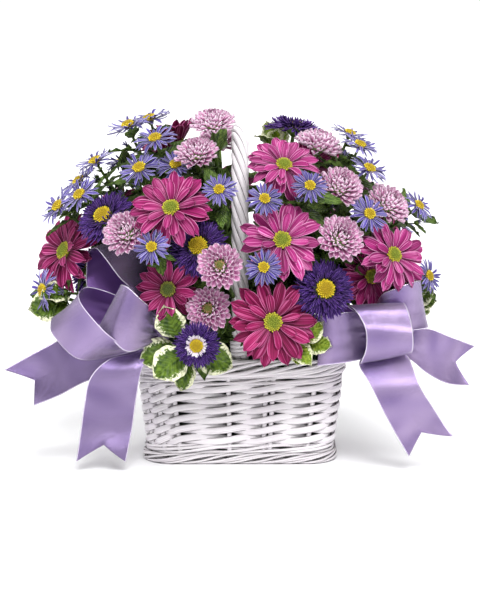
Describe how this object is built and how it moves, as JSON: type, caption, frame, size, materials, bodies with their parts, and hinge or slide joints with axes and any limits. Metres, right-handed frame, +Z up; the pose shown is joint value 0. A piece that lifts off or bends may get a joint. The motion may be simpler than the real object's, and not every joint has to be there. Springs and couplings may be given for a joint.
{
  "type": "flower basket arrangement",
  "caption": "White woven willow basket with a fixed hoop handle, filled with mixed daisies, pompons and asters, with a satin ribbon bow at each front corner.",
  "frame": {"origin": "middle of the basket's underside, on the surface it stands on", "axes": "+X along the basket's length to the viewer's right, +Y to the back, +Z up"},
  "size_m": [0.4132, 0.2826, 0.3188],
  "materials": {
    "painted_willow": "white painted willow rods, satin",
    "liner_plastic": "thin dark green liner",
    "foam": "open fine-celled floral foam, matt",
    "satin_ribbon": "lavender satin with a fine woven edge",
    "daisy_bloom": "magenta ray petals, green-yellow disc, green stem",
    "pompon_bloom": "pale orchid pink petals, darker middle, green stem",
    "violet_aster_bloom": "deep violet fine petals, yellow disc, green stem",
    "blue_aster_bloom": "lavender-blue fine petals, yellow disc, green stem",
    "green_foliage": "green leaves with cream edges"
  },
  "bodies": {
    "root": {"aster_back_left": "violet_aster_bloom", "aster_back_right": "violet_aster_bloom", "aster_left": "violet_aster_bloom", "aster_low": "violet_aster_bloom", "aster_middle": "violet_aster_bloom", "aster_right": "violet_aster_bloom", "aster_top": "violet_aster_bloom", "basket_base": "painted_willow", "basket_wall": "painted_willow", "blue_aster_back_left": "blue_aster_bloom", "blue_aster_back_right": "blue_aster_bloom", "blue_aster_far_right": "blue_aster_bloom", "blue_aster_front": "blue_aster_bloom", "blue_aster_left": "blue_aster_bloom", "blue_aster_low_left": "blue_aster_bloom", "blue_aster_middle": "blue_aster_bloom", "blue_aster_right": "blue_aster_bloom", "blue_aster_top_left": "blue_aster_bloom", "blue_aster_upper_left": "blue_aster_bloom", "daisy_back_left": "daisy_bloom", "daisy_back_middle": "daisy_bloom", "daisy_back_right": "daisy_bloom", "daisy_by_left_bow": "daisy_bloom", "daisy_far_left": "daisy_bloom", "daisy_left": "daisy_bloom", "daisy_low": "daisy_bloom", "daisy_middle": "daisy_bloom", "daisy_right": "daisy_bloom", "daisy_top": "daisy_bloom", "daisy_top_left": "daisy_bloom", "floral_foam": "foam", "foot_border": "painted_willow", "handle_hoop": "painted_willow", "leaves_back": "green_foliage", "leaves_front_left": "green_foliage", "leaves_front_right": "green_foliage", "leaves_left": "green_foliage", "leaves_right": "green_foliage", "leaves_top": "green_foliage", "left_bow_loop_front": "satin_ribbon", "left_bow_loop_side": "satin_ribbon", "left_bow_loop_top": "satin_ribbon", "left_bow_tail_down": "satin_ribbon", "left_bow_tail_side": "satin_ribbon", "left_bow_tie": "satin_ribbon", "liner": "liner_plastic", "pompon_back_left": "pompon_bloom", "pompon_back_right": "pompon_bloom", "pompon_left": "pompon_bloom", "pompon_middle": "pompon_bloom", "pompon_right": "pompon_bloom", "pompon_top": "pompon_bloom", "pompon_top_right": "pompon_bloom", "right_bow_loop_center": "satin_ribbon", "right_bow_loop_left": "satin_ribbon", "right_bow_loop_right": "satin_ribbon", "right_bow_tail_down": "satin_ribbon", "right_bow_tail_side": "satin_ribbon", "right_bow_tie": "satin_ribbon", "rim_border": "painted_willow"}
  },
  "joints": []
}
